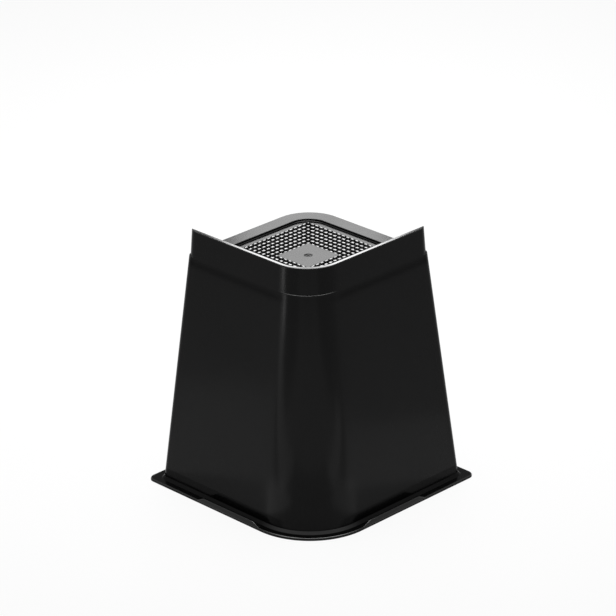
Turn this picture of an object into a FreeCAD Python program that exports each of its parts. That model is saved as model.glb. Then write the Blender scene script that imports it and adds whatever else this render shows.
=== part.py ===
"""Bed riser: one hollow moulded piece that stands under a bed leg and lifts the bed.

Frame: millimetres, +Z up, origin at the middle of the underside. The sides lie along X and Y,
and the raised guard stands over the +X and -Y sides, round the corner between them.
"""
import FreeCAD, Part
import Sketcher
import math
import os

V = FreeCAD.Vector
NEAR = 0.001  # lengths this close count as equal

# Sizes that can be set by themselves
SIZES = [
    ("lift_height", 178, "floor to the seat frame that carries the bed leg"),
    ("base_width", 155, "across the body at the floor"),
    ("top_width", 122.5, "across the body at the seat frame"),
    ("top_round", 27.5, "radius of the two large corners at the seat frame"),
    ("tight_round", 6, "radius of the two small corners, top and bottom"),
    ("wall", 3, "thickness of the side walls"),
    ("plate", 4, "thickness of the seat plate"),
    ("flange_overhang", 7, "how far the foot flange stands out from the body"),
    ("flange_thickness", 2, "thickness of the foot flange"),
    ("flange_tip", 6, "radius of the two pointed flange corners"),
    ("foot_slope", 1.8, "sloping strip between the body and the flange"),
    ("lip_foot_length", 63, "length of a stop lip where it meets the flange"),
    ("lip_top_length", 50, "length of a stop lip along its top"),
    ("lip_rise", 3.2, "height of a stop lip above the flange"),
    ("lip_thickness", 2, "thickness of a stop lip"),
    ("guard_rise", 19.4, "height of the guard above the seat frame"),
    ("guard_lean", 1.4, "how far the guard leans in from foot to top"),
    ("guard_thickness", 3.2, "thickness of the guard at its top"),
    ("guard_ledge", 2.4, "how much larger the guard's corner radii are than the body's"),
    ("guard_fillet", 1.2, "round at the inner foot of the guard"),
    ("guard_edge", 0.6, "round along the top edges of the guard"),
    ("frame_width", 12.25, "width of the flat frame round the seat recess"),
    ("recess_depth", 1.8, "depth of the seat recess"),
    ("recess_tight", 2, "radius of the small recess corners"),
    ("stud_pitch", 4.5, "spacing of the grip studs"),
    ("stud_length", 3.7, "length of a grip stud at its foot, along its row"),
    ("stud_width", 2.8, "width of a grip stud at its foot, across its row"),
    ("stud_rise", 1.2, "height of a grip stud"),
    ("stud_draft", 8, "draft of a grip stud's sides, in degrees"),
    ("smooth_pitches", 8, "stud spacings taken up by the smooth middle of the seat"),
    ("pad_margin", 6, "least width of the smooth strip outside the studs"),
    ("gate_diameter", 6, "moulding gate mark in the middle of the seat"),
    ("gate_depth", 0.3, "depth of the gate mark"),
    ("rib_thickness", 2.4, "thickness of the stiffening ribs under the seat plate"),
    ("rib_depth", 12, "depth of the stiffening ribs"),
    ("rib_spacing", 40, "distance between the two ribs of a pair"),
    ("rib_bite", 0.75, "how far the lower ends of the ribs run into the walls"),
]

# Sizes that follow from those
DERIVED = [
    ("base_round", "top_round + (base_width - top_width) / 2"),
    ("flange_width", "base_width + 2 * flange_overhang"),
    ("flange_round", "base_round + flange_overhang"),
    ("overall_height", "lift_height + guard_rise"),
    ("guard_round", "top_round + guard_ledge"),
    ("guard_tight", "tight_round + guard_ledge"),
    ("guard_top_width", "top_width - 2 * guard_lean"),
    ("guard_top_round", "guard_round - guard_lean"),
    ("guard_top_tight", "guard_tight - guard_lean"),
    ("guard_inner_half", "guard_top_width / 2 - guard_thickness"),
    ("guard_inner_round", "guard_top_round - guard_thickness"),
    ("recess_width", "top_width - 2 * frame_width"),
    ("recess_round", "top_round - frame_width"),
    ("pad_height", "lift_height - recess_depth"),
    ("stud_gap", "stud_pitch - stud_width"),
    ("smooth_width", "smooth_pitches * stud_pitch - stud_gap"),
    ("stud_rows", "floor((recess_width / 2 - pad_margin - smooth_width / 2 - stud_gap) / stud_pitch)"),
    ("field_width", "smooth_width + 2 * stud_rows * stud_pitch + 2 * stud_gap"),
    ("ceiling_height", "pad_height - plate"),
    ("ceiling_share", "ceiling_height / lift_height"),
    ("hollow_width", "base_width - 2 * wall"),
    ("hollow_round", "base_round - wall"),
    ("hollow_tight", "tight_round - wall"),
    ("ceiling_width", "base_width + (top_width - base_width) * ceiling_share - 2 * wall"),
    ("ceiling_round", "base_round + (top_round - base_round) * ceiling_share - wall"),
    ("rib_foot_share", "(ceiling_height - rib_depth) / lift_height"),
    ("rib_foot_width", "base_width + (top_width - base_width) * rib_foot_share - 2 * wall"),
    ("rib_length", "rib_foot_width + 2 * rib_bite"),
]

doc = FreeCAD.newDocument("bed_riser")
sheet = doc.addObject("Spreadsheet::Sheet", "Sizes")
rows = [(alias, str(number), note) for alias, number, note in SIZES]
rows += [(alias, "=" + formula, "follows from the sizes above") for alias, formula in DERIVED]
for row, (alias, content, note) in enumerate(rows, start=1):
    sheet.set(f"A{row}", note)
    sheet.set(f"B{row}", content)
    sheet.setAlias(f"B{row}", alias)
doc.recompute()


def size(alias):
    """The number that the sheet holds under this name."""
    return float(sheet.get(alias))


shell = doc.addObject("PartDesign::Body", "shell")


def origin(role):
    """An origin plane or axis of the shell."""
    return next(feature for feature in shell.Origin.OriginFeatures if feature.Role == role)


def level_sketch(name, level):
    """An empty sketch parallel to the floor, at the height that the sheet holds as level."""
    sketch = shell.newObject("Sketcher::SketchObject", name)
    sketch.AttachmentSupport = [(origin("XY_Plane"), "")]
    sketch.MapMode = "FlatFace"
    if level:
        sketch.setExpression("AttachmentOffset.Base.z", f"Sizes.{level}")
    return sketch


def drive(sketch, name, formula, constraint):
    """Add a named dimension to a sketch and tie it to the sheet."""
    index = sketch.addConstraint(constraint)
    sketch.renameConstraint(index, name)
    sketch.setExpression(f"Constraints.{name}", formula)


def rounded_square(name, level, width, large, small):
    """A centred square with large rounds at +X-Y and -X+Y and small rounds at the other corners."""
    sketch = level_sketch(name, level)
    half = size(width) / 2
    corners = [(1, -1, size(large)), (1, 1, size(small)), (-1, 1, size(large)), (-1, -1, size(small))]
    arcs = []
    for turn, (side_x, side_y, radius) in enumerate(corners):
        centre = V(side_x * (half - radius), side_y * (half - radius), 0)
        start = math.radians(90 * (turn - 1))
        circle = Part.Circle(centre, V(0, 0, 1), radius)
        arcs.append(Part.ArcOfCircle(circle, start, start + math.pi / 2))
    sides = [Part.LineSegment(arcs[turn].EndPoint, arcs[(turn + 1) % 4].StartPoint) for turn in range(4)]
    arc = [sketch.addGeometry(piece, False) for piece in arcs]
    side = [sketch.addGeometry(piece, False) for piece in sides]
    for turn in range(4):
        sketch.addConstraint(Sketcher.Constraint("Tangent", arc[turn], 2, side[turn], 1))
        sketch.addConstraint(Sketcher.Constraint("Tangent", side[turn], 2, arc[(turn + 1) % 4], 1))
        upright = "Vertical" if turn % 2 == 0 else "Horizontal"
        sketch.addConstraint(Sketcher.Constraint(upright, side[turn]))
    sketch.addConstraint(Sketcher.Constraint("Equal", arc[0], arc[2]))
    sketch.addConstraint(Sketcher.Constraint("Equal", arc[1], arc[3]))
    sketch.addConstraint(Sketcher.Constraint("Symmetric", side[0], 1, side[2], 1, -1, 1))
    drive(sketch, "large", f"Sizes.{large}", Sketcher.Constraint("Radius", arc[0], size(large)))
    drive(sketch, "small", f"Sizes.{small}", Sketcher.Constraint("Radius", arc[1], size(small)))
    across = Sketcher.Constraint("DistanceX", side[2], 1, side[0], 1, size(width))
    deep = Sketcher.Constraint("DistanceY", side[3], 1, side[1], 1, size(width))
    drive(sketch, "across", f"Sizes.{width}", across)
    drive(sketch, "deep", f"Sizes.{width}", deep)
    return sketch


def rectangle(sketch, left, low, right, high):
    """Four lines round a rectangle in a sketch, from the lower left corner round to the left."""
    points = [V(left, low, 0), V(right, low, 0), V(right, high, 0), V(left, high, 0)]
    lines = [Part.LineSegment(points[turn], points[(turn + 1) % 4]) for turn in range(4)]
    side = [sketch.addGeometry(line, False) for line in lines]
    for turn in range(4):
        sketch.addConstraint(Sketcher.Constraint("Coincident", side[turn], 2, side[(turn + 1) % 4], 1))
        level = "Horizontal" if turn % 2 == 0 else "Vertical"
        sketch.addConstraint(Sketcher.Constraint(level, side[turn]))
    return side


def centred_square(sketch, name, width):
    """A sharp square centred on the axis, added to a sketch."""
    half = size(width) / 2
    side = rectangle(sketch, -half, -half, half, half)
    sketch.addConstraint(Sketcher.Constraint("Symmetric", side[0], 1, side[2], 1, -1, 1))
    across = Sketcher.Constraint("DistanceX", side[0], 1, side[0], 2, 2 * half)
    deep = Sketcher.Constraint("DistanceY", side[1], 1, side[1], 2, 2 * half)
    drive(sketch, name + "_across", f"Sizes.{width}", across)
    drive(sketch, name + "_deep", f"Sizes.{width}", deep)


def pad(name, sketch, length):
    """Raise a sketch by the length that the sheet holds."""
    feature = shell.newObject("PartDesign::Pad", name)
    feature.Profile = sketch
    feature.setExpression("Length", f"Sizes.{length}")
    return feature


def pocket(name, sketch, length):
    """Sink a sketch by the length that the sheet holds."""
    feature = shell.newObject("PartDesign::Pocket", name)
    feature.Profile = sketch
    feature.setExpression("Length", f"Sizes.{length}")
    return feature


def loft(kind, name, low, high):
    """A straight-ruled loft between two level sketches."""
    feature = shell.newObject(f"PartDesign::{kind}", name)
    feature.Profile = low
    feature.Sections = [high]
    feature.Ruled = True
    return feature


def quarter_turns(name, feature):
    """Repeat a feature on all four sides."""
    pattern = shell.newObject("PartDesign::PolarPattern", name)
    pattern.Originals = [feature]
    pattern.Axis = (origin("Z_Axis"), [""])
    pattern.Angle = 360
    pattern.Occurrences = 4
    shell.Tip = pattern
    return pattern


def edges_where(feature, test):
    """Names of the edges of a feature whose points all pass a test."""
    names = []
    for number, edge in enumerate(feature.Shape.Edges, start=1):
        points = edge.discretize(5)
        if all(test(point) for point in points):
            names.append(f"Edge{number}")
    return names


def soften(kind, name, base, test, width):
    """Put a round (Fillet) or a sloping strip (Chamfer) on the edges that pass a test."""
    doc.recompute()
    feature = shell.newObject(f"PartDesign::{kind}", name)
    feature.Base = (base, edges_where(base, test))
    feature.setExpression("Radius" if kind == "Fillet" else "Size", f"Sizes.{width}")
    return feature


def near(one, other):
    """Whether two lengths count as equal."""
    return abs(one - other) < NEAR


# Foot flange, with round corners on one diagonal and pointed ones on the other
flange_outline = rounded_square("flange_outline", "", "flange_width", "flange_round", "flange_tip")
pad("flange", flange_outline, "flange_thickness")

# Stop lip along the middle of each flange edge, with sloping ends
lip_outline = shell.newObject("Sketcher::SketchObject", "lip_outline")
lip_outline.AttachmentSupport = [(origin("XZ_Plane"), "")]
lip_outline.MapMode = "FlatFace"
lip_outline.setExpression("AttachmentOffset.Base.z", "Sizes.flange_width / 2")
lip_foot = size("flange_thickness")
lip_top = lip_foot + size("lip_rise")
foot_half = size("lip_foot_length") / 2
top_half = size("lip_top_length") / 2
lip_points = [
    V(-foot_half, lip_foot, 0),
    V(foot_half, lip_foot, 0),
    V(top_half, lip_top, 0),
    V(-top_half, lip_top, 0),
]
lip_lines = [Part.LineSegment(lip_points[turn], lip_points[(turn + 1) % 4]) for turn in range(4)]
lip_side = [lip_outline.addGeometry(line, False) for line in lip_lines]
for turn in range(4):
    joint = Sketcher.Constraint("Coincident", lip_side[turn], 2, lip_side[(turn + 1) % 4], 1)
    lip_outline.addConstraint(joint)
lip_outline.addConstraint(Sketcher.Constraint("Symmetric", lip_side[0], 1, lip_side[0], 2, -2))
lip_outline.addConstraint(Sketcher.Constraint("Symmetric", lip_side[2], 1, lip_side[2], 2, -2))
foot_length = Sketcher.Constraint("DistanceX", lip_side[0], 1, lip_side[0], 2, 2 * foot_half)
top_length = Sketcher.Constraint("DistanceX", lip_side[2], 2, lip_side[2], 1, 2 * top_half)
foot_level = Sketcher.Constraint("DistanceY", -1, 1, lip_side[0], 1, lip_foot)
rise = Sketcher.Constraint("DistanceY", lip_side[0], 1, lip_side[2], 2, lip_top - lip_foot)
drive(lip_outline, "foot_length", "Sizes.lip_foot_length", foot_length)
drive(lip_outline, "top_length", "Sizes.lip_top_length", top_length)
drive(lip_outline, "foot_level", "Sizes.flange_thickness", foot_level)
drive(lip_outline, "rise", "Sizes.lip_rise", rise)
lip = pad("lip", lip_outline, "lip_thickness")
lip.Reversed = True
quarter_turns("lips", lip)

# Tapered body, whose large corners are cones that tighten towards the seat
body_foot = rounded_square("body_foot", "", "base_width", "base_round", "tight_round")
body_top = rounded_square("body_top", "lift_height", "top_width", "top_round", "tight_round")
body = loft("AdditiveLoft", "body", body_foot, body_top)
shell.Tip = body

# Guard: a leaning block above the seat, cut away over the seat so that two sides stay
guard_foot = rounded_square("guard_foot", "lift_height", "top_width", "guard_round", "guard_tight")
guard_head = rounded_square(
    "guard_head", "overall_height", "guard_top_width", "guard_top_round", "guard_top_tight"
)
loft("AdditiveLoft", "guard", guard_foot, guard_head)

seat_outline = level_sketch("seat_outline", "overall_height")
inner = size("guard_inner_half")
inner_round = size("guard_inner_round")
far = size("top_width")
seat_arc = Part.ArcOfCircle(
    Part.Circle(V(inner - inner_round, inner_round - inner, 0), V(0, 0, 1), inner_round), -math.pi / 2, 0
)
seat_points = [seat_arc.EndPoint, V(inner, far, 0), V(-far, far, 0), V(-far, -inner, 0), seat_arc.StartPoint]
bend = seat_outline.addGeometry(seat_arc, False)
seat_side = [
    seat_outline.addGeometry(Part.LineSegment(start, end), False)
    for start, end in zip(seat_points, seat_points[1:])
]
seat_outline.addConstraint(Sketcher.Constraint("Tangent", bend, 2, seat_side[0], 1))
seat_outline.addConstraint(Sketcher.Constraint("Tangent", seat_side[3], 2, bend, 1))
for turn in range(3):
    joint = Sketcher.Constraint("Coincident", seat_side[turn], 2, seat_side[turn + 1], 1)
    seat_outline.addConstraint(joint)
for turn in range(4):
    direction = "Vertical" if turn % 2 == 0 else "Horizontal"
    seat_outline.addConstraint(Sketcher.Constraint(direction, seat_side[turn]))
inner_x = Sketcher.Constraint("DistanceX", -1, 1, seat_side[0], 1, inner)
inner_y = Sketcher.Constraint("DistanceY", seat_side[3], 1, -1, 1, inner)
clear_x = Sketcher.Constraint("DistanceX", seat_side[2], 1, -1, 1, far)
clear_y = Sketcher.Constraint("DistanceY", -1, 1, seat_side[1], 1, far)
drive(seat_outline, "inner_x", "Sizes.guard_inner_half", inner_x)
drive(seat_outline, "inner_y", "Sizes.guard_inner_half", inner_y)
drive(seat_outline, "clear_x", "Sizes.top_width", clear_x)
drive(seat_outline, "clear_y", "Sizes.top_width", clear_y)
drive(seat_outline, "bend", "Sizes.guard_inner_round", Sketcher.Constraint("Radius", bend, inner_round))
pocket("seat", seat_outline, "guard_rise")

# Shallow recess in the seat, inside a flat frame
recess_outline = rounded_square(
    "recess_outline", "lift_height", "recess_width", "recess_round", "recess_tight"
)
pocket("recess", recess_outline, "recess_depth")

# Hollow underside, open at the floor
hollow_foot = rounded_square("hollow_foot", "", "hollow_width", "hollow_round", "hollow_tight")
hollow_top = rounded_square(
    "hollow_top", "ceiling_height", "ceiling_width", "ceiling_round", "hollow_tight"
)
hollow = loft("SubtractiveLoft", "hollow", hollow_foot, hollow_top)
shell.Tip = hollow

# Crossed stiffening ribs under the seat plate
rib_outline = level_sketch("rib_outline", "ceiling_height")
rib_half = size("rib_length") / 2
rib_near = (size("rib_spacing") - size("rib_thickness")) / 2
rib_side = rectangle(rib_outline, -rib_half, rib_near, rib_half, rib_near + size("rib_thickness"))
rib_start = Sketcher.Constraint("DistanceX", rib_side[0], 1, -1, 1, rib_half)
rib_run = Sketcher.Constraint("DistanceX", rib_side[0], 1, rib_side[0], 2, 2 * rib_half)
rib_gauge = Sketcher.Constraint("DistanceY", rib_side[1], 1, rib_side[1], 2, size("rib_thickness"))
rib_place = Sketcher.Constraint("DistanceY", -1, 1, rib_side[0], 1, rib_near)
drive(rib_outline, "start", "Sizes.rib_length / 2", rib_start)
drive(rib_outline, "run", "Sizes.rib_length", rib_run)
drive(rib_outline, "gauge", "Sizes.rib_thickness", rib_gauge)
drive(rib_outline, "place", "(Sizes.rib_spacing - Sizes.rib_thickness) / 2", rib_place)
rib = pad("rib", rib_outline, "rib_depth")
rib.Reversed = True
ribs = quarter_turns("ribs", rib)

# Softened edges at the foot of the body, at the inner foot of the guard and along its top
flange_top = size("flange_thickness")
frame_level = size("lift_height")
guard_top = size("overall_height")
body_half = size("base_width") / 2
guard_inside = size("guard_inner_half")


def at_body_foot(point):
    return near(point.z, flange_top) and max(abs(point.x), abs(point.y)) < body_half


def at_guard_inner_foot(point):
    on_guard = near(point.x, guard_inside) or near(point.y, -guard_inside)
    bend_middle = guard_inside - inner_round
    in_bend = near(math.hypot(point.x - bend_middle, point.y + bend_middle), inner_round)
    over_seat = point.x < guard_inside + NEAR and point.y > -guard_inside - NEAR
    return near(point.z, frame_level) and over_seat and (on_guard or in_bend)


def at_guard_top(point):
    return near(point.z, guard_top)


foot_strip = soften("Chamfer", "foot_strip", ribs, at_body_foot, "foot_slope")
seat_round = soften("Fillet", "seat_round", foot_strip, at_guard_inner_foot, "guard_fillet")
soften("Fillet", "top_round", seat_round, at_guard_top, "guard_edge")

# Gate mark in the middle of the seat
gate_outline = level_sketch("gate_outline", "pad_height")
gate_circle = Part.Circle(V(0, 0, 0), V(0, 0, 1), size("gate_diameter") / 2)
gate = gate_outline.addGeometry(gate_circle, False)
gate_outline.addConstraint(Sketcher.Constraint("Coincident", gate, 3, -1, 1))
gate_size = Sketcher.Constraint("Diameter", gate, size("gate_diameter"))
drive(gate_outline, "diameter", "Sizes.gate_diameter", gate_size)
pocket("gate_mark", gate_outline, "gate_depth")

# Sunk field round the smooth middle of the seat, in which the grip studs stand
field_outline = level_sketch("field_outline", "pad_height")
centred_square(field_outline, "field", "field_width")
centred_square(field_outline, "smooth", "smooth_width")
pocket("field", field_outline, "stud_rise")


def stud_block(centre_x, centre_y, length_x, length_y):
    """One grip stud: a low block with drafted sides, from the sunk field up to the seat level."""
    rise = size("stud_rise")
    shrink = rise * math.tan(math.radians(size("stud_draft")))
    outlines = []
    for level, inset in ((0, 0), (rise, shrink)):
        half_x = length_x / 2 - inset
        half_y = length_y / 2 - inset
        height = size("pad_height") - rise + level
        corners = [(-1, -1), (1, -1), (1, 1), (-1, 1), (-1, -1)]
        points = [V(centre_x + x * half_x, centre_y + y * half_y, height) for x, y in corners]
        outlines.append(Part.makePolygon(points))
    return Part.makeLoft(outlines, True, True)


def stud_ring(ring):
    """A square ring of grip studs that lie along its sides, with a square stud at each corner."""
    pitch = size("stud_pitch")
    width = size("stud_width")
    spaces = int(size("smooth_pitches")) + 2 * ring - 1
    reach = spaces * pitch / 2
    blocks = []
    for step in range(spaces):
        along = step * pitch - reach
        length = width if step == 0 else size("stud_length")
        blocks.append(stud_block(along, -reach, length, width))
        blocks.append(stud_block(reach, along, width, length))
        blocks.append(stud_block(-along, reach, length, width))
        blocks.append(stud_block(-reach, -along, width, length))
    return blocks


# Grip studs in square rings round the smooth middle of the seat
stud_blocks = []
for ring in range(1, int(size("stud_rows")) + 1):
    stud_blocks += stud_ring(ring)
studs = doc.addObject("Part::Feature", "studs")
studs.Shape = Part.makeCompound(stud_blocks)

# The whole moulding
riser = doc.addObject("Part::Fuse", "riser")
riser.Label = "riser"
riser.Base = shell
riser.Tool = studs

doc.recompute()
for item in doc.Objects:
    if "Invalid" in item.State or "Error" in item.State:
        raise RuntimeError(f"{item.Name} failed: {item.State}")
if riser.Shape.isNull() or not riser.Shape.isValid() or len(riser.Shape.Solids) != 1:
    raise RuntimeError("the riser isn't one valid solid")

os.makedirs("parts", exist_ok=True)
riser.Shape.exportStep(f"parts/{riser.Label}.step")
box = riser.Shape.BoundBox
print(f"riser {box.XLength:.2f} x {box.YLength:.2f} x {box.ZLength:.2f} mm")
print(f"volume {riser.Shape.Volume / 1000:.1f} cm3, {len(riser.Shape.Faces)} faces")
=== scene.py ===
import bpy
import bmesh
import math
from mathutils import Matrix, Vector, noise


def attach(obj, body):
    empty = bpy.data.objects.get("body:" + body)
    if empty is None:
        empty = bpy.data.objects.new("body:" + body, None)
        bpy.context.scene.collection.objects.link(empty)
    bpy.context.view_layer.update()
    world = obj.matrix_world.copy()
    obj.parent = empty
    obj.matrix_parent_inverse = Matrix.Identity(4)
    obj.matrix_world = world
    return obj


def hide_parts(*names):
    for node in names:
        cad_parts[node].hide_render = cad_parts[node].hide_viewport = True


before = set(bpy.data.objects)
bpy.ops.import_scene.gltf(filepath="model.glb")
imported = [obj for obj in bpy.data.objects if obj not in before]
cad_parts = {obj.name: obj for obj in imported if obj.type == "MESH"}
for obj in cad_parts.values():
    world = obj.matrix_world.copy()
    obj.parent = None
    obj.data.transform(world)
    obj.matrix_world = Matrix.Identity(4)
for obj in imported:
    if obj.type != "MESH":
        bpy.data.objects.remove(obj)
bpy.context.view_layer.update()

# Shell: foot flange, tapered walls, seat plate with its frame and shallow recess, and the hollow
# underside, all one thin wall of black polypropylene moulded in one shot. Two opposite corners
# are wide and tighten towards the seat, and the other two stay tight. Sizes are in millimetres.
MM = 0.001
LIFT = 178.0
BASE_WIDTH, BASE_ROUND = 155.0, 43.75
TOP_WIDTH, TOP_ROUND = 122.5, 27.5
TIGHT_ROUND = 6.0
WALL, PLATE = 3.0, 4.0
FLANGE_WIDTH, FLANGE_ROUND, FLANGE_TIP, FLANGE_THICK = 169.0, 50.75, 6.0, 2.0
FOOT_SLOPE = 1.8
RECESS_WIDTH, RECESS_ROUND, RECESS_TIGHT, RECESS_DEPTH = 98.0, 15.25, 2.0, 1.8
STUD_PITCH, STUD_RISE = 4.5, 1.2
FIELD_WIDTH, FIELD_ROUND = 19 * STUD_PITCH, 0.1
SMOOTH_WIDTH, SMOOTH_ROUND = 7 * STUD_PITCH, 0.5
GATE_RADIUS, GATE_DEPTH, GATE_NUB = 3.0, 0.3, 0.15
GATE_TEAR, GATE_TEAR_SPAN, GATE_TEAR_REACH = 0.55, 1.3, 2.6
SINK_HEIGHT, SINK_LOW, SINK_SPREAD, SINK_DEPTH = 173.5, 168.0, 2.2, 0.07
FLANGE_UNDER_EDGE, FLANGE_EDGE, FRAME_EDGE, RECESS_EDGE, FIELD_EDGE = 0.3, 1.1, 0.6, 0.4, 0.25
PAD = LIFT - RECESS_DEPTH
FIELD = PAD - STUD_RISE
CEILING = PAD - PLATE
WALL_FOOT, WALL_HEAD = FLANGE_THICK + FOOT_SLOPE, LIFT - FRAME_EDGE
ARC_STEPS, SIDE_STEPS, EDGE_STEPS = 24, 20, 4
HOLLOW_STEPS, WALL_STEPS, SINK_STEPS = 12, 24, 19
HOLD = 0.05  # distance of the loops that keep a flat face flat beside an edge
NEAR = 0.01  # heights and places this close count as equal
CREASE = math.radians(40)  # faces that meet at more than this shade as a sharp edge


def square_loop(width, wide, tight, out=0.0):
    """Points round a centred square with two wide and two tight corners, moved out by a distance."""
    half = width / 2 + out
    corners = ((1, -1, wide), (1, 1, tight), (-1, 1, wide), (-1, -1, tight))
    arcs = []
    for turn, (side_x, side_y, radius) in enumerate(corners):
        radius += out
        middle = Vector((side_x * (half - radius), side_y * (half - radius)))
        angles = [math.radians(90 * (turn - 1 + step / ARC_STEPS)) for step in range(ARC_STEPS + 1)]
        arcs.append([middle + radius * Vector((math.cos(a), math.sin(a))) for a in angles])
    loop = []
    for turn in range(4):
        start, end = arcs[turn][-1], arcs[(turn + 1) % 4][0]
        loop += arcs[turn]
        loop += [start.lerp(end, step / SIDE_STEPS) for step in range(1, SIDE_STEPS)]
    return loop


def body_loop(height, out=0.0):
    """The body's outline at a height, moved out by a distance."""
    share = height / LIFT
    width = BASE_WIDTH + (TOP_WIDTH - BASE_WIDTH) * share
    wide = BASE_ROUND + (TOP_ROUND - BASE_ROUND) * share
    return square_loop(width, wide, TIGHT_ROUND, out)


def sink_mark(loop, height):
    """Draw the flats under the guard in a little where the seat plate behind them shrank."""
    depth = SINK_DEPTH * math.exp(-(((height - SINK_HEIGHT) / SINK_SPREAD) ** 2))
    half = max(point.x for point in loop)
    for point in loop:
        if point.x > half - NEAR:
            point.x -= depth
        if point.y < NEAR - half:
            point.y += depth
    return loop


def edge_round(outline, height, radius, turn_in, turn_up):
    """Loops over a small round between a level face and an upright one, from the upright face on.

    turn_in is -1 where the level face lies inside the outline and 1 where it lies outside;
    turn_up is 1 where the level face is above the upright one and -1 where it is below."""
    loops = []
    for step in range(EDGE_STEPS + 1):
        angle = math.radians(90 * step / EDGE_STEPS)
        out = turn_in * radius * (1 - math.cos(angle))
        rise = height - turn_up * radius * (1 - math.sin(angle))
        loops.append((square_loop(*outline, out), rise))
    return loops


def round_loop(radius):
    """A circle with as many points as the other loops."""
    return square_loop(2 * radius, radius, radius)


def stack_mesh(name, loops, low_middle, high_middle):
    """A closed mesh through a stack of loops, with a middle point at each end."""
    mesh = bpy.data.meshes.new(name)
    build = bmesh.new()
    rows = []
    for loop, height in loops:
        rows.append([build.verts.new((x * MM, y * MM, height * MM)) for x, y in loop])
    count = len(rows[0])
    for low, high in zip(rows, rows[1:]):
        for step in range(count):
            after = (step + 1) % count
            build.faces.new((low[step], low[after], high[after], high[step]))
    for row, height in ((rows[0], low_middle), (rows[-1], high_middle)):
        middle = build.verts.new((0, 0, height * MM))
        for step in range(count):
            build.faces.new((row[step], row[(step + 1) % count], middle))
    bmesh.ops.recalc_face_normals(build, faces=build.faces)
    build.to_mesh(mesh)
    build.free()
    mesh.shade_smooth()
    mesh.set_sharp_from_angle(angle=CREASE)
    return mesh


# The loops run from the hollow's ceiling down its wall to the floor.
loops = [([point * share for point in body_loop(CEILING, -WALL)], CEILING) for share in (0.3, 0.7, 0.98)]
for step in range(HOLLOW_STEPS + 1):
    height = CEILING * (1 - step / HOLLOW_STEPS)
    loops.append((body_loop(height, -WALL), height))
loops.append((body_loop(0), 0))

# Then they go round the flange, up its sloping strip and up the outside of the wall.
flange = (FLANGE_WIDTH, FLANGE_ROUND, FLANGE_TIP)
loops += edge_round(flange, 0, FLANGE_UNDER_EDGE, -1, -1)[::-1]
loops += edge_round(flange, FLANGE_THICK, FLANGE_EDGE, -1, 1)
loops.append((square_loop(*flange, -FLANGE_EDGE - 2 * HOLD), FLANGE_THICK))
for out, rise in ((6 * HOLD, 0.0), (HOLD, 0.0), (0.0, HOLD), (-FOOT_SLOPE, FOOT_SLOPE)):
    loops.append((body_loop(FLANGE_THICK + rise, FOOT_SLOPE + out), FLANGE_THICK + rise))
wall_start, wall_end = WALL_FOOT + 2 * HOLD, WALL_HEAD - 2 * HOLD
for step in range(WALL_STEPS + 1):
    height = wall_start + (SINK_LOW - wall_start) * step / WALL_STEPS
    loops.append((body_loop(height), height))
for step in range(1, SINK_STEPS + 1):
    height = SINK_LOW + (wall_end - SINK_LOW) * step / SINK_STEPS
    loops.append((sink_mark(body_loop(height), height), height))

# Then they cross the frame, the recess and the sunk field to the smooth middle.
head_width = BASE_WIDTH + (TOP_WIDTH - BASE_WIDTH) * WALL_HEAD / LIFT
recess = (RECESS_WIDTH, RECESS_ROUND, RECESS_TIGHT)
field = (FIELD_WIDTH, FIELD_ROUND, FIELD_ROUND)
smooth = (SMOOTH_WIDTH, SMOOTH_ROUND, SMOOTH_ROUND)
loops += edge_round((head_width, TOP_ROUND, TIGHT_ROUND), LIFT, FRAME_EDGE, -1, 1)
loops.append((square_loop(TOP_WIDTH, TOP_ROUND, TIGHT_ROUND, -FRAME_EDGE - HOLD), LIFT))
loops.append((square_loop(*recess, RECESS_EDGE + HOLD), LIFT))
loops += edge_round(recess, LIFT, RECESS_EDGE, 1, 1)[::-1]
loops += edge_round(recess, PAD, RECESS_EDGE, -1, -1)
loops.append((square_loop(*recess, -RECESS_EDGE - HOLD), PAD))
loops.append((square_loop(*field, FIELD_EDGE + HOLD), PAD))
loops += edge_round(field, PAD, FIELD_EDGE, 1, 1)[::-1]
loops.append((square_loop(*field), FIELD))
loops.append((square_loop(*smooth), FIELD))
loops += edge_round(smooth, PAD, FIELD_EDGE, -1, 1)
loops.append((square_loop(*smooth, -FIELD_EDGE - 2 * HOLD), PAD))

# They end in the gate mark, a round dimple whose floor tore where the runner was broken off.
for out, drop in ((0.25, 0.0), (0.2, 0.0), (0.1, 0.03), (0.0, 0.1), (-0.1, GATE_DEPTH)):
    loops.append((round_loop(GATE_RADIUS + out), PAD - drop))
for radius, rise in ((2.5, 0), (2.1, 0), (1.7, 0), (1.3, 0), (1.1, 0.05), (0.9, 0.1), (0.6, GATE_NUB)):
    loops.append((round_loop(radius), PAD - GATE_DEPTH + rise))
shell_mesh = stack_mesh("riser_shell", loops, CEILING, PAD - GATE_DEPTH + GATE_NUB)
for vert in shell_mesh.vertices:
    if vert.co.xy.length < GATE_TEAR_REACH * MM and vert.co.z > CEILING * MM + NEAR * MM:
        vert.co.z += GATE_TEAR * MM * noise.noise(vert.co / (GATE_TEAR_SPAN * MM))

# The skin is coloured right through, with a low sheen, a fine grain and faint cloudy flow marks.
SHEEN = 0.045
plastic = bpy.data.materials.new("black_moulded_plastic")
plastic.use_nodes = True
nodes, links = plastic.node_tree.nodes, plastic.node_tree.links
skin = nodes["Principled BSDF"]
skin.inputs["Specular IOR Level"].default_value = 0.04
skin.inputs["Coat IOR"].default_value = 1.7
skin.inputs["Coat Roughness"].default_value = 0.18
place = nodes.new("ShaderNodeTexCoord")

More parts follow.
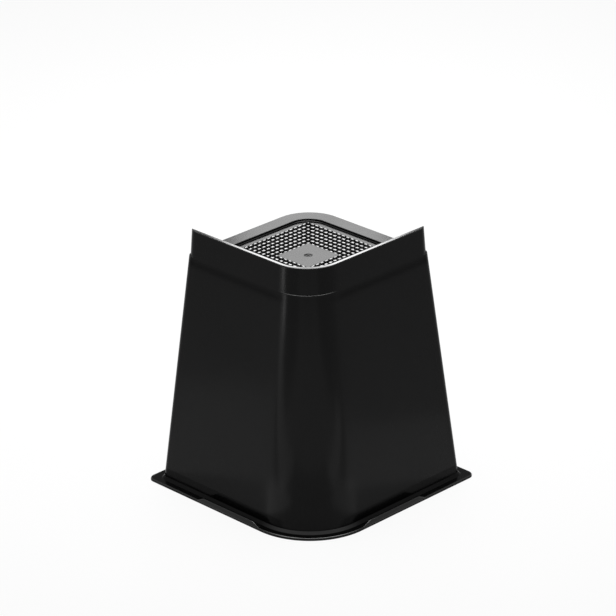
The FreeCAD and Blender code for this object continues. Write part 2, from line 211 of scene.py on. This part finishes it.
flow = nodes.new("ShaderNodeTexNoise")
flow.inputs["Scale"].default_value = 22
flow.inputs["Detail"].default_value = 4
flow.inputs["Roughness"].default_value = 0.55
links.new(place.outputs["Object"], flow.inputs["Vector"])
tint = nodes.new("ShaderNodeMixRGB")
tint.inputs["Color1"].default_value = (0.0030, 0.0030, 0.0031, 1)
tint.inputs["Color2"].default_value = (0.0050, 0.0050, 0.0051, 1)
links.new(flow.outputs["Fac"], tint.inputs["Fac"])
links.new(tint.outputs["Color"], skin.inputs["Base Color"])
cloudy = nodes.new("ShaderNodeMapRange")
cloudy.inputs["From Min"].default_value = 0.3
cloudy.inputs["From Max"].default_value = 0.7
cloudy.inputs["To Min"].default_value = 0.15
cloudy.inputs["To Max"].default_value = 0.21
links.new(flow.outputs["Fac"], cloudy.inputs["Value"])
links.new(cloudy.outputs["Result"], skin.inputs["Roughness"])

grain = nodes.new("ShaderNodeTexNoise")
grain.inputs["Scale"].default_value = 900
grain.inputs["Detail"].default_value = 3
links.new(place.outputs["Object"], grain.inputs["Vector"])
grain_bump = nodes.new("ShaderNodeBump")
grain_bump.inputs["Strength"].default_value = 0.12
grain_bump.inputs["Distance"].default_value = 0.0002
links.new(grain.outputs["Fac"], grain_bump.inputs["Height"])
links.new(grain_bump.outputs["Normal"], skin.inputs["Normal"])

# Painted highlight: rounded edges, where the surface turns from upright to level, get full coat shine,
# chosen by which way the surface faces, so that the lamps glint there as bright lines. A point attribute
# on each piece adds painted shine for more highlight, and below 0 takes shine away as painted shade.
facing = nodes.new("ShaderNodeSeparateXYZ")
links.new(place.outputs["Normal"], facing.inputs["Vector"])
level = nodes.new("ShaderNodeMath")
level.operation = "ABSOLUTE"
links.new(facing.outputs["Z"], level.inputs[0])
painted_edge_glint = nodes.new("ShaderNodeValToRGB")
stops = painted_edge_glint.color_ramp.elements
stops[0].position, stops[1].position = 0.25, 0.99
for stop in stops:
    stop.color = (SHEEN, SHEEN, SHEEN, 1)
for position in (0.45, 0.95):
    stops.new(position).color = (1, 1, 1, 1)
links.new(level.outputs["Value"], painted_edge_glint.inputs["Fac"])
# Painted sheen per point: above 0 a painted highlight, below 0 painted shade.
painted_sheen = nodes.new("ShaderNodeAttribute")
painted_sheen.attribute_name = "painted_sheen"
painted_shine = nodes.new("ShaderNodeMath")
painted_shine.operation = "ADD"
painted_shine.use_clamp = True
links.new(painted_edge_glint.outputs["Color"], painted_shine.inputs[0])
links.new(painted_sheen.outputs["Fac"], painted_shine.inputs[1])
links.new(painted_shine.outputs["Value"], skin.inputs["Coat Weight"])

# Painted shade: the foot's sloping strip loses its edge shine along the sides, behind the lips, while its
# wide corners keep it as a painted highlight. A band at the sink marks' height under the guard loses its
# shine.
FOOT_PAINTED_SHADE, FOOT_PAINTED_SHADE_END, FOOT_PAINTED_SHADE_FADE = 0.85, 46.0, 18.0
SINK_PAINTED_SHADE, SINK_PAINTED_SHADE_END, SINK_PAINTED_SHADE_FADE = 3.2, 42.0, 14.0
GUARD_SIDE = 58.0  # the two walls below the guard lie further out than this


def give_painted_sheen(mesh, amounts):
    """Store each point's painted shine for the plastic, or painted shade where the amount is below 0."""
    mesh.attributes.new("painted_sheen", "FLOAT", "POINT").data.foreach_set("value", amounts)


def fading(value, end, length):
    """1 up to a length before the end, then evenly down to 0 at the end."""
    return min(1, max(0, (end - value) / length))


def shell_painted_sheen(point):
    """Painted shade: shine taken off the foot strip but not round the wide corners, and off the sink band.
    """
    x, y, z = point / MM
    if FLANGE_THICK + NEAR < z < wall_start + NEAR:
        into_corner = min(abs(x), abs(y)) if x * y < 0 else 0
        return -FOOT_PAINTED_SHADE * fading(into_corner, FOOT_PAINTED_SHADE_END, FOOT_PAINTED_SHADE_FADE)
    if z < WALL_HEAD + NEAR and max(x, -y) > GUARD_SIDE:
        band = math.exp(-(((z - SINK_HEIGHT) / SINK_PAINTED_SHADE) ** 2))
        return -SHEEN * band * fading(min(x, -y), SINK_PAINTED_SHADE_END, SINK_PAINTED_SHADE_FADE)
    return 0.0


give_painted_sheen(shell_mesh, [shell_painted_sheen(vert.co) for vert in shell_mesh.vertices])
shell_mesh.materials.append(plastic)
shell = bpy.data.objects.new("riser_shell", shell_mesh)
bpy.context.scene.collection.objects.link(shell)
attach(shell, "root")
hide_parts("riser")

# Guard: a wall that stands up over two sides and round the wide corner between them, and
# keeps the bed leg from walking off. It is moulded with the shell and leans in a little.
# Its corners are wider than the body's, so a thin ledge shows below it at the corner.
GUARD_RISE, GUARD_LEAN, GUARD_THICK = 19.4, 1.4, 3.2
GUARD_LEDGE, GUARD_FILLET, GUARD_EDGE = 2.4, 1.2, 0.6
GUARD_TOP = LIFT + GUARD_RISE
GUARD_INNER = TOP_WIDTH / 2 - GUARD_LEAN - GUARD_THICK
GUARD_BEND = TOP_ROUND + GUARD_LEDGE - GUARD_LEAN - GUARD_THICK
GUARD_ROOTS = (0.9, 0.6)
# shine painted on the guard's top as a highlight
GUARD_PAINTED_SHINE = 0.6
BODY_TAPER = (BASE_WIDTH - TOP_WIDTH) / 2 / LIFT
END_STEPS, OUTSIDE_STEPS, INSIDE_STEPS = 12, 30, 41
FILLET_STEPS, RISE_STEPS, RIM_STEPS = 6, 10, 5


def guard_arc(centre_x, centre_y, radius, angles):
    """Points on an arc of the guard's plan."""
    return [Vector((centre_x + radius * math.cos(a), centre_y + radius * math.sin(a))) for a in angles]


def guard_loop(lean, inset, flare):
    """Points round the guard's plan: along its outside, then back along its inside.

    lean is how far the outside has moved in, inset how far both sides have, and flare how far
    the inner side spreads at its foot."""
    half = TOP_WIDTH / 2 - lean - inset
    wide = TOP_ROUND + GUARD_LEDGE - lean - inset
    tight = TIGHT_ROUND + GUARD_LEDGE - lean - inset
    inner = GUARD_INNER + inset - flare
    bend = GUARD_BEND + inset - flare
    reach = math.acos(min((inner - (half - tight)) / tight, 1))
    end_turn = [reach * (1 - step / END_STEPS) for step in range(END_STEPS + 1)]
    half_turn = [-math.radians(90 * step / ARC_STEPS) for step in range(ARC_STEPS // 2 + 1)]
    outer = guard_arc(half - tight, half - tight, tight, end_turn)
    outer_corner = guard_arc(half - wide, wide - half, wide, half_turn)
    side_start = outer[-1]
    outer += [side_start.lerp(outer_corner[0], step / OUTSIDE_STEPS) for step in range(1, OUTSIDE_STEPS)]
    outer += outer_corner
    inner_end = Vector((inner, outer[0].y))
    inner_corner = guard_arc(inner - bend, bend - inner, bend, half_turn)
    inside = [inner_end.lerp(inner_corner[0], step / INSIDE_STEPS) for step in range(INSIDE_STEPS)]
    inside += inner_corner
    for line in (outer, inside):
        line += [Vector((-point.y, -point.x)) for point in line[-2::-1]]
    return outer + inside[::-1]


guard_levels = [(-depth, -BODY_TAPER * depth, 0.0, GUARD_FILLET) for depth in GUARD_ROOTS]
for step in range(FILLET_STEPS + 1):
    angle = math.radians(90 * step / FILLET_STEPS)
    rise = GUARD_FILLET * (1 - math.cos(angle))
    guard_levels.append((rise, GUARD_LEAN * rise / GUARD_RISE, 0.0, GUARD_FILLET * (1 - math.sin(angle))))
for step in range(1, RISE_STEPS + 1):
    rise = GUARD_FILLET + (GUARD_RISE - GUARD_FILLET - GUARD_EDGE - 2 * HOLD) * step / RISE_STEPS
    guard_levels.append((rise, GUARD_LEAN * rise / GUARD_RISE, 0.0, 0.0))
for step in range(RIM_STEPS + 1):
    angle = math.radians(90 * step / RIM_STEPS)
    rise = GUARD_RISE - GUARD_EDGE * (1 - math.sin(angle))
    guard_levels.append((rise, GUARD_LEAN * rise / GUARD_RISE, GUARD_EDGE * (1 - math.cos(angle)), 0.0))
guard_levels.append((GUARD_RISE, GUARD_LEAN, GUARD_EDGE + 2 * HOLD, 0.0))

guard_mesh = bpy.data.meshes.new("riser_guard")
build = bmesh.new()
rows = []
for rise, lean, inset, flare in guard_levels:
    plan = guard_loop(lean, inset, flare)
    rows.append([build.verts.new((x * MM, y * MM, (LIFT + rise) * MM)) for x, y in plan])
count = len(rows[0])
for low, high in zip(rows, rows[1:]):
    for step in range(count):
        after = (step + 1) % count
        build.faces.new((low[step], low[after], high[after], high[step]))
for row in (rows[0], rows[-1]):
    for step in range(count // 2 - 1):
        build.faces.new((row[step], row[step + 1], row[count - 2 - step], row[count - 1 - step]))
bmesh.ops.recalc_face_normals(build, faces=build.faces)
build.to_mesh(guard_mesh)
build.free()
guard_mesh.shade_smooth()
guard_mesh.set_sharp_from_angle(angle=CREASE)


def guard_painted_sheen(point):
    """Painted highlight: shine on the top of the guard, less and less into its corner."""
    x, y, z = point / MM
    if z < GUARD_TOP - NEAR:
        return 0.0
    return GUARD_PAINTED_SHINE * fading(min(x, -y), GUARD_INNER, GUARD_BEND)


give_painted_sheen(guard_mesh, [guard_painted_sheen(vert.co) for vert in guard_mesh.vertices])
guard_mesh.materials.append(plastic)
guard = bpy.data.objects.new("riser_guard", guard_mesh)
bpy.context.scene.collection.objects.link(guard)
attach(guard, "root")
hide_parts("riser")

# Grip studs: square rings of low drafted blocks that stand in the sunk field of the seat and
# stop the bed leg sliding. Each lies along its ring, with a square one at each corner, and the
# first and last rings are half sunk in the field's edges as teeth. All are moulded with the plate.
STUD_LENGTH, STUD_WIDTH, STUD_DRAFT, STUD_EDGE = 3.7, 2.8, 8.0, 0.45
STUD_CREASE = math.radians(50)
STUD_RINGS, SMOOTH_PITCHES = 7, 6
# Painted highlight: nearly full coat shine on every stud, so that they glint.
STUD_PAINTED_SHINE = 0.89


def stud_object(name, length):
    """One drafted stud with rounded upper edges, with the middle of its foot at the origin."""
    shrink = STUD_RISE * math.tan(math.radians(STUD_DRAFT))
    stud_mesh = bpy.data.meshes.new(name)
    build = bmesh.new()
    foot, head = [], []
    for side_x, side_y in ((-1, -1), (1, -1), (1, 1), (-1, 1)):
        half_x, half_y = length / 2, STUD_WIDTH / 2
        foot.append(build.verts.new((side_x * half_x * MM, side_y * half_y * MM, 0)))
        top = (side_x * (half_x - shrink) * MM, side_y * (half_y - shrink) * MM, STUD_RISE * MM)
        head.append(build.verts.new(top))
    for step in range(4):
        after = (step + 1) % 4
        build.faces.new((foot[step], foot[after], head[after], head[step]))
    build.faces.new(head)
    build.faces.new(foot[::-1])
    worn = [edge for edge in build.edges if max(v.co.z for v in edge.verts) > 0]
    bmesh.ops.bevel(build, geom=worn, offset=STUD_EDGE * MM, segments=3, profile=0.5, affect="EDGES")
    bmesh.ops.recalc_face_normals(build, faces=build.faces)
    build.to_mesh(stud_mesh)
    build.free()
    stud_mesh.shade_smooth()
    stud_mesh.set_sharp_from_angle(angle=STUD_CREASE)
    give_painted_sheen(stud_mesh, [STUD_PAINTED_SHINE] * len(stud_mesh.vertices))
    stud = bpy.data.objects.new(name, stud_mesh)
    bpy.context.scene.collection.objects.link(stud)
    return stud


def tree_input(tree, name, kind):
    """Add a named input to a node tree and return its identifier."""
    return tree.interface.new_socket(name=name, in_out="INPUT", socket_type=kind).identifier


def tree_math(tree, operation, first, second=None, third=None):
    """Add a math node to a tree, with sockets or numbers as its inputs, and return its output."""
    node = tree.nodes.new("ShaderNodeMath")
    node.operation = operation
    for slot, value in enumerate((first, second, third)):
        if isinstance(value, (int, float)):
            node.inputs[slot].default_value = value
        elif value is not None:
            tree.links.new(value, node.inputs[slot])
    return node.outputs[0]


def tree_end(tree, instances, finish):
    """End a tree in real geometry with a material."""
    real = tree.nodes.new("GeometryNodeRealizeInstances")
    tree.links.new(instances, real.inputs["Geometry"])
    coat = tree.nodes.new("GeometryNodeSetMaterial")
    tree.links.new(real.outputs["Geometry"], coat.inputs["Geometry"])
    tree.links.new(finish, coat.inputs["Material"])
    tree.interface.new_socket(name="Geometry", in_out="OUTPUT", socket_type="NodeSocketGeometry")
    tree.links.new(coat.outputs["Geometry"], tree.nodes.new("NodeGroupOutput").inputs["Geometry"])


def grow(piece, tree, settings):
    """Run a node tree on a piece and keep the result as its plain mesh."""
    modifier = piece.modifiers.new("grow", "NODES")
    modifier.node_group = tree
    for key, value in settings.items():
        modifier[key] = value
    bpy.context.view_layer.update()
    grown = bpy.data.meshes.new_from_object(piece.evaluated_get(bpy.context.evaluated_depsgraph_get()))
    piece.modifiers.clear()
    piece.data = grown


stud_tree = bpy.data.node_groups.new("stud_rings", "GeometryNodeTree")
tree_input(stud_tree, "Geometry", "NodeSocketGeometry")
pitch_key = tree_input(stud_tree, "Pitch", "NodeSocketFloat")
smooth_key = tree_input(stud_tree, "Smooth Pitches", "NodeSocketInt")
rings_key = tree_input(stud_tree, "Rings", "NodeSocketInt")
field_key = tree_input(stud_tree, "Field Height", "NodeSocketFloat")
side_key = tree_input(stud_tree, "Side Stud", "NodeSocketObject")
corner_key = tree_input(stud_tree, "Corner Stud", "NodeSocketObject")
finish_key = tree_input(stud_tree, "Finish", "NodeSocketMaterial")
given = stud_tree.nodes.new("NodeGroupInput").outputs

# A grid of points covers the field, and those on the smooth middle are taken out.
across = tree_math(stud_tree, "MULTIPLY_ADD", given["Rings"], 2, given["Smooth Pitches"])
span = tree_math(stud_tree, "MULTIPLY", tree_math(stud_tree, "SUBTRACT", across, 1), given["Pitch"])
grid = stud_tree.nodes.new("GeometryNodeMeshGrid")
for name, value in (("Size X", span), ("Size Y", span), ("Vertices X", across), ("Vertices Y", across)):
    stud_tree.links.new(value, grid.inputs[name])
spot = stud_tree.nodes.new("ShaderNodeSeparateXYZ")
stud_tree.links.new(stud_tree.nodes.new("GeometryNodeInputPosition").outputs[0], spot.inputs[0])
out_x = tree_math(stud_tree, "ABSOLUTE", spot.outputs["X"])
out_y = tree_math(stud_tree, "ABSOLUTE", spot.outputs["Y"])
smooth_half = tree_math(stud_tree, "MULTIPLY", given["Smooth Pitches"], 0.5)
smooth_reach = tree_math(stud_tree, "MULTIPLY", smooth_half, given["Pitch"])
furthest = tree_math(stud_tree, "MAXIMUM", out_x, out_y)
in_middle = tree_math(stud_tree, "LESS_THAN", furthest, smooth_reach)
thin = stud_tree.nodes.new("GeometryNodeDeleteGeometry")
stud_tree.links.new(grid.outputs["Mesh"], thin.inputs["Geometry"])
stud_tree.links.new(in_middle, thin.inputs["Selection"])

# Corner studs go on the diagonals, and side studs elsewhere, turned to lie along their side.
on_corner = tree_math(stud_tree, "COMPARE", out_x, out_y, NEAR * MM)
off_corner = tree_math(stud_tree, "SUBTRACT", 1, on_corner)
upright_side = tree_math(stud_tree, "GREATER_THAN", out_x, out_y)
quarter = tree_math(stud_tree, "MULTIPLY", upright_side, math.pi / 2)
turned = stud_tree.nodes.new("ShaderNodeCombineXYZ")
stud_tree.links.new(quarter, turned.inputs["Z"])
both = stud_tree.nodes.new("GeometryNodeJoinGeometry")
for key, chosen in (("Side Stud", off_corner), ("Corner Stud", on_corner)):
    shape = stud_tree.nodes.new("GeometryNodeObjectInfo")
    stud_tree.links.new(given[key], shape.inputs["Object"])
    put = stud_tree.nodes.new("GeometryNodeInstanceOnPoints")
    stud_tree.links.new(thin.outputs["Geometry"], put.inputs["Points"])
    stud_tree.links.new(chosen, put.inputs["Selection"])
    stud_tree.links.new(shape.outputs["Geometry"], put.inputs["Instance"])
    stud_tree.links.new(turned.outputs["Vector"], put.inputs["Rotation"])
    stud_tree.links.new(put.outputs["Instances"], both.inputs["Geometry"])
raised = stud_tree.nodes.new("GeometryNodeTransform")
up = stud_tree.nodes.new("ShaderNodeCombineXYZ")
stud_tree.links.new(given["Field Height"], up.inputs["Z"])
stud_tree.links.new(both.outputs["Geometry"], raised.inputs["Geometry"])
stud_tree.links.new(up.outputs["Vector"], raised.inputs["Translation"])
tree_end(stud_tree, raised.outputs["Geometry"], given["Finish"])

side_stud = stud_object("side_stud", STUD_LENGTH)
corner_stud = stud_object("corner_stud", STUD_WIDTH)
studs = bpy.data.objects.new("riser_studs", bpy.data.meshes.new("riser_studs"))
bpy.context.scene.collection.objects.link(studs)
grow(studs, stud_tree, {
    pitch_key: STUD_PITCH * MM, smooth_key: SMOOTH_PITCHES, rings_key: STUD_RINGS, field_key: FIELD * MM,
    side_key: side_stud, corner_key: corner_stud, finish_key: plastic,
})
bpy.data.objects.remove(side_stud)
bpy.data.objects.remove(corner_stud)
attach(studs, "root")
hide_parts("riser")

# Stop lips and stiffening ribs: plain strips, one for each side, moulded with the shell. A lip
# stands on the flange along the middle of a side and slopes at its ends. The ribs cross under
# the seat plate, and their ends run into the walls.
LIP_FOOT, LIP_TOP, LIP_RISE, LIP_THICK, LIP_ROOT, LIP_EDGE = 63.0, 50.0, 3.2, 2.0, 0.9, 0.6
RIB_SPACING, RIB_LENGTH, RIB_THICK, RIB_DEPTH, RIB_ROOT, RIB_EDGE = 40.0, 121.25, 2.4, 12.0, 1.0, 0.3
# Painted highlight: a little extra coat shine on the lips and ribs.
STRIP_PAINTED_SHINE = 0.16
SIDES = 4

side_tree = bpy.data.node_groups.new("four_sides", "GeometryNodeTree")
tree_input(side_tree, "Geometry", "NodeSocketGeometry")
sides_key = tree_input(side_tree, "Sides", "NodeSocketInt")
side_finish_key = tree_input(side_tree, "Finish", "NodeSocketMaterial")
given = side_tree.nodes.new("NodeGroupInput").outputs
spots = side_tree.nodes.new("GeometryNodePoints")
side_tree.links.new(given["Sides"], spots.inputs["Count"])
number = side_tree.nodes.new("GeometryNodeInputIndex").outputs[0]
turn_step = tree_math(side_tree, "DIVIDE", 2 * math.pi, given["Sides"])
turn_by = side_tree.nodes.new("ShaderNodeCombineXYZ")
side_tree.links.new(tree_math(side_tree, "MULTIPLY", number, turn_step), turn_by.inputs["Z"])
put = side_tree.nodes.new("GeometryNodeInstanceOnPoints")
side_tree.links.new(spots.outputs[0], put.inputs["Points"])
side_tree.links.new(given["Geometry"], put.inputs["Instance"])
side_tree.links.new(turn_by.outputs["Vector"], put.inputs["Rotation"])
tree_end(side_tree, put.outputs["Instances"], given["Finish"])


def strip_mesh(name, profile, near, far, edge):
    """A strip along X with this X-Z profile, between two Y planes, with softened edges."""
    mesh = bpy.data.meshes.new(name)
    build = bmesh.new()
    front = [build.verts.new((x * MM, near * MM, z * MM)) for x, z in profile]
    back = [build.verts.new((x * MM, far * MM, z * MM)) for x, z in profile]
    build.faces.new(front)
    build.faces.new(back[::-1])
    for step in range(len(profile)):
        after = (step + 1) % len(profile)
        build.faces.new((front[step], back[step], back[after], front[after]))
    bmesh.ops.bevel(build, geom=build.edges[:], offset=edge * MM, segments=3, profile=0.5, affect="EDGES")
    bmesh.ops.recalc_face_normals(build, faces=build.faces)
    build.to_mesh(mesh)
    build.free()
    mesh.shade_smooth()
    mesh.set_sharp_from_angle(angle=CREASE)
    give_painted_sheen(mesh, [STRIP_PAINTED_SHINE] * len(mesh.vertices))
    return mesh


lip_slope = (LIP_FOOT - LIP_TOP) / 2 / LIP_RISE
lip_root_half = LIP_FOOT / 2 + lip_slope * LIP_ROOT
lip_low, lip_high = FLANGE_THICK - LIP_ROOT, FLANGE_THICK + LIP_RISE
lip_profile = [
    (-lip_root_half, lip_low), (lip_root_half, lip_low), (LIP_TOP / 2, lip_high), (-LIP_TOP / 2, lip_high),
]
lip_near = -FLANGE_WIDTH / 2
rib_half, rib_low, rib_high = RIB_LENGTH / 2, CEILING - RIB_DEPTH, CEILING + RIB_ROOT
rib_profile = [(-rib_half, rib_low), (rib_half, rib_low), (rib_half, rib_high), (-rib_half, rib_high)]
rib_near = (RIB_SPACING - RIB_THICK) / 2
for name, profile, near, far, edge in (
    ("riser_lips", lip_profile, lip_near, lip_near + LIP_THICK, LIP_EDGE),
    ("riser_ribs", rib_profile, rib_near, rib_near + RIB_THICK, RIB_EDGE),
):
    strips = bpy.data.objects.new(name, strip_mesh(name, profile, near, far, edge))
    bpy.context.scene.collection.objects.link(strips)
    grow(strips, side_tree, {sides_key: SIDES, side_finish_key: plastic})
    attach(strips, "root")
    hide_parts("riser")

# Floor: a plain pale studio floor that the riser stands on, wide enough to fill every view.
# The camera and reflections see it nearly white, and it still takes the riser's shadow.
# It lies a hair below the riser's underside, so that the two faces don't flicker.
FLOOR_HALF, FLOOR_DROP = 8.0, 0.0001
FLOOR_WHITE = 0.9
floor_paint = bpy.data.materials.new("pale_studio_floor")
floor_paint.use_nodes = True
floor_nodes, floor_links = floor_paint.node_tree.nodes, floor_paint.node_tree.links
paint = floor_nodes["Principled BSDF"]
paint.inputs["Base Color"].default_value = (0.9, 0.9, 0.9, 1)
paint.inputs["Roughness"].default_value = 0.9
paint.inputs["Specular IOR Level"].default_value = 0.0
ray = floor_nodes.new("ShaderNodeLightPath")
seen = ray.outputs["Is Camera Ray"]
for kind in ("Is Glossy Ray", "Is Transmission Ray"):
    either = floor_nodes.new("ShaderNodeMath")
    either.operation = "MAXIMUM"
    floor_links.new(seen, either.inputs[0])
    floor_links.new(ray.outputs[kind], either.inputs[1])
    seen = either.outputs[0]
white_share = floor_nodes.new("ShaderNodeMath")
white_share.operation = "MULTIPLY"
white_share.inputs[1].default_value = FLOOR_WHITE
floor_links.new(seen, white_share.inputs[0])
white = floor_nodes.new("ShaderNodeEmission")
white.inputs["Strength"].default_value = 1.0
mixed = floor_nodes.new("ShaderNodeMixShader")
floor_links.new(white_share.outputs[0], mixed.inputs["Fac"])
floor_links.new(paint.outputs["BSDF"], mixed.inputs[1])
floor_links.new(white.outputs["Emission"], mixed.inputs[2])
floor_links.new(mixed.outputs["Shader"], floor_nodes["Material Output"].inputs["Surface"])
corner_sides = ((-1, -1), (1, -1), (1, 1), (-1, 1))
floor_corners = [(x * FLOOR_HALF, y * FLOOR_HALF, -FLOOR_DROP) for x, y in corner_sides]
floor_mesh = bpy.data.meshes.new("studio_floor")
floor_mesh.from_pydata(floor_corners, [], [(0, 1, 2, 3)])
floor_mesh.materials.append(floor_paint)
floor = bpy.data.objects.new("studio_floor", floor_mesh)
bpy.context.scene.collection.objects.link(floor)

# Studio light: an even white surround, a wide soft box overhead, and a narrow one behind that
# lies in the seat as a sheen. Weak cards of light on the floor show in the walls and the flange
# as soft streaks. Places and sizes are in metres.
CARD_HEIGHT = 0.002
world = bpy.data.worlds.new("studio_surround")
bpy.context.scene.world = world
world.use_nodes = True
surround = world.node_tree.nodes["Background"]
surround.inputs["Color"].default_value = (1, 1, 1, 1)
surround.inputs["Strength"].default_value = 0.33


def soft_box(name, place, aim, width, height, power, spread=180):
    """A soft area lamp at a place, turned towards a point, with its width level and on the diagonal."""
    lamp = bpy.data.lights.new(name, "AREA")
    lamp.shape = "RECTANGLE"
    lamp.size = width
    lamp.size_y = height
    lamp.energy = power
    lamp.spread = math.radians(spread)
    ahead = (Vector(aim) - Vector(place)).normalized()
    across = Vector((1, 1, 0)).normalized()
    across = (across - across.dot(ahead) * ahead).normalized()
    turn = Matrix((across, across.cross(ahead), -ahead)).transposed().to_4x4()
    holder = bpy.data.objects.new(name, lamp)
    holder.matrix_world = Matrix.Translation(place) @ turn
    holder.visible_camera = False
    bpy.context.scene.collection.objects.link(holder)


soft_box(
    "back_box", place=(-0.34, 0.34, 0.62), aim=(0, 0, 0.393),
    width=0.15, height=0.62, power=0.165, spread=50,
)
for name, x, y, width, height, power in (
    ("left_card", -0.14, -0.40, 0.56, 0.10, 0.18),
    ("far_card", -0.24, -0.64, 0.16, 0.12, 0.5),
    ("front_card", 0.36, -0.36, 0.54, 0.54, 0.5),
    ("right_card", 0.27, 0.0, 0.2, 0.07, 0.05),
    ("left_foot_card", -0.13, -0.20, 0.22, 0.11, 0.03),
    ("right_foot_card", 0.165, 0.085, 0.14, 0.11, 0.02),
    ("left_heel_card", 0.015, -0.145, 0.07, 0.07, 0.016),
    ("right_heel_card", 0.145, -0.015, 0.07, 0.07, 0.010),
):
    soft_box(name, (x, y, CARD_HEIGHT), (x, y, 1), width, height, power)
soft_box(
    "over_box", place=(-0.30, 0.30, 0.75), aim=(-0.30, 0.30, 0),
    width=0.8, height=1.1, power=3.6, spread=80,
)

# Camera: a long lens that looks down on the seat over the guard's corner. The point it looks
# at lands a little below the middle of the square picture, at a named pixel.
LOOK_AT = Vector((0, 0, 0.0845))
LANDS_AT = (309.86, 372.49)
AZIMUTH, ELEVATION, ROLL = math.radians(-44.64), math.radians(25.26), math.radians(0.80)
DISTANCE, LENS_PIXELS, IMAGE_PIXELS, SENSOR = 2.4224, 3371.0, 616.0, 36.0
along_floor = math.cos(ELEVATION)
outward = Vector((along_floor * math.cos(AZIMUTH), along_floor * math.sin(AZIMUTH), math.sin(ELEVATION)))
level_right = (-outward).cross(Vector((0, 0, 1))).normalized()
level_up = level_right.cross(-outward)
upward = level_up * math.cos(ROLL) + level_right * math.sin(ROLL)
right = level_right * math.cos(ROLL) - level_up * math.sin(ROLL)
off_right = (LANDS_AT[0] - IMAGE_PIXELS / 2) / LENS_PIXELS
off_down = (LANDS_AT[1] - IMAGE_PIXELS / 2) / LENS_PIXELS
forward = (-outward - off_right * right + off_down * upward).normalized()
right = (right - right.dot(forward) * forward).normalized()
upward = right.cross(forward)
view = bpy.data.cameras.new("photo_camera")
view.sensor_width = SENSOR
view.lens = SENSOR * LENS_PIXELS / IMAGE_PIXELS
camera = bpy.data.objects.new("photo_camera", view)
turn = Matrix((right, upward, -forward)).transposed().to_4x4()
camera.matrix_world = Matrix.Translation(LOOK_AT + DISTANCE * outward) @ turn
bpy.context.scene.collection.objects.link(camera)
bpy.context.scene.camera = camera
bpy.context.scene.view_settings.view_transform = "Standard"
